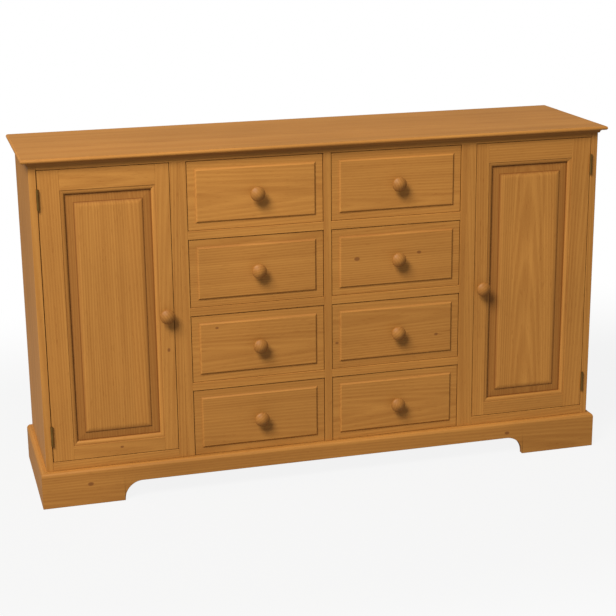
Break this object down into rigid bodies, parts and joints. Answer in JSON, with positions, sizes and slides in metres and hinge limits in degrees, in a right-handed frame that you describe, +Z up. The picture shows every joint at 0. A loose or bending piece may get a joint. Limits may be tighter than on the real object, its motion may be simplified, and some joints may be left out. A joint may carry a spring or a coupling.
{
  "type": "dresser with drawers",
  "caption": "Waxed pine dresser with a panelled cupboard at each end, two columns of fielded drawers with turned knobs between them, a moulded top and a shaped plinth.",
  "frame": {"origin": "on the floor, under the middle of the whole object's footprint, knobs and top overhangs included", "axes": "+X along the length to the right of someone who faces the doors, +Y from the front to the back, +Z up"},
  "size_m": [1.524, 0.407, 0.895],
  "materials": {
    "waxed_pine": "satin antique-waxed pine",
    "raw_pine": "unfinished planed pine",
    "brass": "dull brass",
    "catch_steel": "plated steel"
  },
  "bodies": {
    "carcass": {"top_board": "waxed_pine", "left_side": "waxed_pine", "right_side": "waxed_pine", "left_partition": "waxed_pine", "right_partition": "waxed_pine", "centre_partition": "waxed_pine", "floor_board": "waxed_pine", "back_boards": "raw_pine", "header_rail": "waxed_pine", "door_strips": "waxed_pine", "cupboard_sills": "waxed_pine", "drawer_rails": "waxed_pine", "drawer_runners": "raw_pine", "drawer_stops": "raw_pine", "plinth_front": "waxed_pine", "plinth_ends": "waxed_pine", "plinth_blocks": "raw_pine", "shelves": "waxed_pine", "shelf_battens": "raw_pine", "frame_hinges": "brass", "door_catches": "catch_steel"},
    "left_door": {"left_door_lock_stile": "waxed_pine", "left_door_hinge_stile": "waxed_pine", "left_door_top_rail": "waxed_pine", "left_door_bottom_rail": "waxed_pine", "left_door_panel": "waxed_pine", "left_door_knob": "waxed_pine", "left_door_fittings": "brass"},
    "right_door": {"right_door_lock_stile": "waxed_pine", "right_door_hinge_stile": "waxed_pine", "right_door_top_rail": "waxed_pine", "right_door_bottom_rail": "waxed_pine", "right_door_panel": "waxed_pine", "right_door_knob": "waxed_pine", "right_door_fittings": "brass"},
    "left_drawer_1": {"left_drawer_1_front": "waxed_pine", "left_drawer_1_box": "raw_pine", "left_drawer_1_knob": "waxed_pine"},
    "left_drawer_2": {"left_drawer_2_front": "waxed_pine", "left_drawer_2_box": "raw_pine", "left_drawer_2_knob": "waxed_pine"},
    "left_drawer_3": {"left_drawer_3_front": "waxed_pine", "left_drawer_3_box": "raw_pine", "left_drawer_3_knob": "waxed_pine"},
    "left_drawer_4": {"left_drawer_4_front": "waxed_pine", "left_drawer_4_box": "raw_pine", "left_drawer_4_knob": "waxed_pine"},
    "right_drawer_1": {"right_drawer_1_front": "waxed_pine", "right_drawer_1_box": "raw_pine", "right_drawer_1_knob": "waxed_pine"},
    "right_drawer_2": {"right_drawer_2_front": "waxed_pine", "right_drawer_2_box": "raw_pine", "right_drawer_2_knob": "waxed_pine"},
    "right_drawer_3": {"right_drawer_3_front": "waxed_pine", "right_drawer_3_box": "raw_pine", "right_drawer_3_knob": "waxed_pine"},
    "right_drawer_4": {"right_drawer_4_front": "waxed_pine", "right_drawer_4_box": "raw_pine", "right_drawer_4_knob": "waxed_pine"}
  },
  "joints": [
    {"name": "left_door_swing", "type": "hinge", "parent": "carcass", "child": "left_door", "pos_m": [-0.72425, -0.175, 0.49], "axis": [0, 0, -1], "range_deg": [0, 110]},
    {"name": "right_door_swing", "type": "hinge", "parent": "carcass", "child": "right_door", "pos_m": [0.72425, -0.175, 0.49], "axis": [0, 0, 1], "range_deg": [0, 110]},
    {"name": "left_drawer_1_slide", "type": "slide", "parent": "carcass", "child": "left_drawer_1", "axis": [0, -1, 0], "range_m": [0, 0.26]},
    {"name": "right_drawer_1_slide", "type": "slide", "parent": "carcass", "child": "right_drawer_1", "axis": [0, -1, 0], "range_m": [0, 0.26]},
    {"name": "left_drawer_2_slide", "type": "slide", "parent": "carcass", "child": "left_drawer_2", "axis": [0, -1, 0], "range_m": [0, 0.26]},
    {"name": "right_drawer_2_slide", "type": "slide", "parent": "carcass", "child": "right_drawer_2", "axis": [0, -1, 0], "range_m": [0, 0.26]},
    {"name": "left_drawer_3_slide", "type": "slide", "parent": "carcass", "child": "left_drawer_3", "axis": [0, -1, 0], "range_m": [0, 0.26]},
    {"name": "right_drawer_3_slide", "type": "slide", "parent": "carcass", "child": "right_drawer_3", "axis": [0, -1, 0], "range_m": [0, 0.26]},
    {"name": "left_drawer_4_slide", "type": "slide", "parent": "carcass", "child": "left_drawer_4", "axis": [0, -1, 0], "range_m": [0, 0.26]},
    {"name": "right_drawer_4_slide", "type": "slide", "parent": "carcass", "child": "right_drawer_4", "axis": [0, -1, 0], "range_m": [0, 0.26]}
  ]
}
